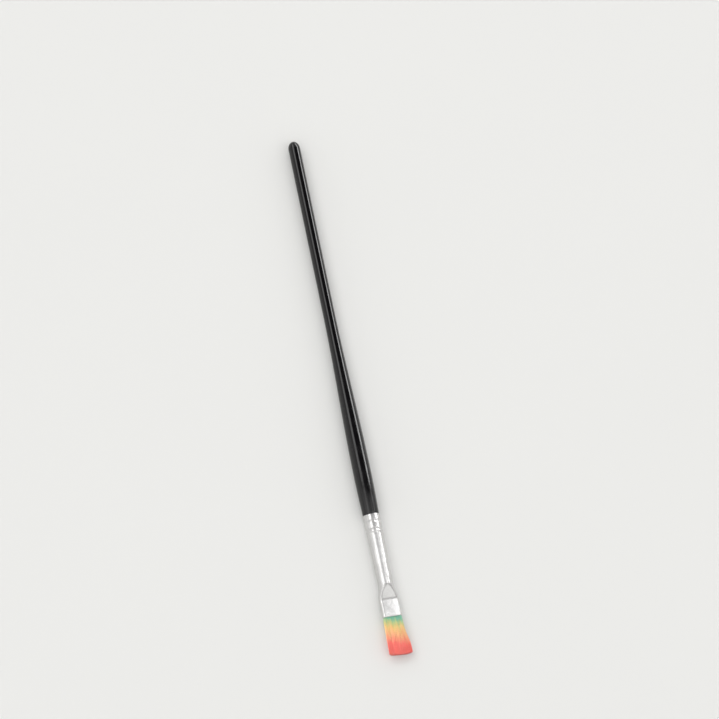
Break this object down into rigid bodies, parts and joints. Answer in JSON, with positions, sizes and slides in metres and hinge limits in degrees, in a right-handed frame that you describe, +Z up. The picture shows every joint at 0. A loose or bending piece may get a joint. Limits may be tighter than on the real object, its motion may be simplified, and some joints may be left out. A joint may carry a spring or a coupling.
{
  "type": "fine detail brush",
  "caption": "Slim flat detail brush: gloss black turned handle, crimped and flattened metal ferrule, square-cut rainbow-dyed tuft that flexes.",
  "frame": {"origin": "on the brush's axis, at the middle of the handle's straight stem, where a stand, clip or holder grips it", "axes": "+X along the brush towards the tip of the tuft, +Z up and square to the tuft's broad face, +Y across the broad face"},
  "size_m": [0.18, 0.0074, 0.006],
  "materials": {
    "black_lacquered_wood": "high gloss black lacquer over fine-grained wood",
    "handle_glue": "dried glue film",
    "bright_ferrule_metal": "drawn and polished bright",
    "root_resin": "clear amber cured resin",
    "hair_teal": "packed synthetic filaments, dyed teal",
    "hair_rainbow": "fine synthetic filaments, dyed teal at the ferrule through green, yellow and orange to coral red at the tip"
  },
  "bodies": {
    "brush": {"handle": "black_lacquered_wood", "handle_glue": "handle_glue", "ferrule": "bright_ferrule_metal", "root_glue": "root_resin", "hair_roots": "hair_teal"},
    "hair": {"tuft": "hair_rainbow"}
  },
  "joints": [
    {"name": "tuft_flex", "type": "hinge", "parent": "brush", "child": "hair", "pos_m": [0.1367, 0, 0], "axis": [0, -1, 0], "range_deg": [-30, 30], "stiffness_Nm_per_rad": 0.0015, "deforming": ["tuft"]}
  ]
}
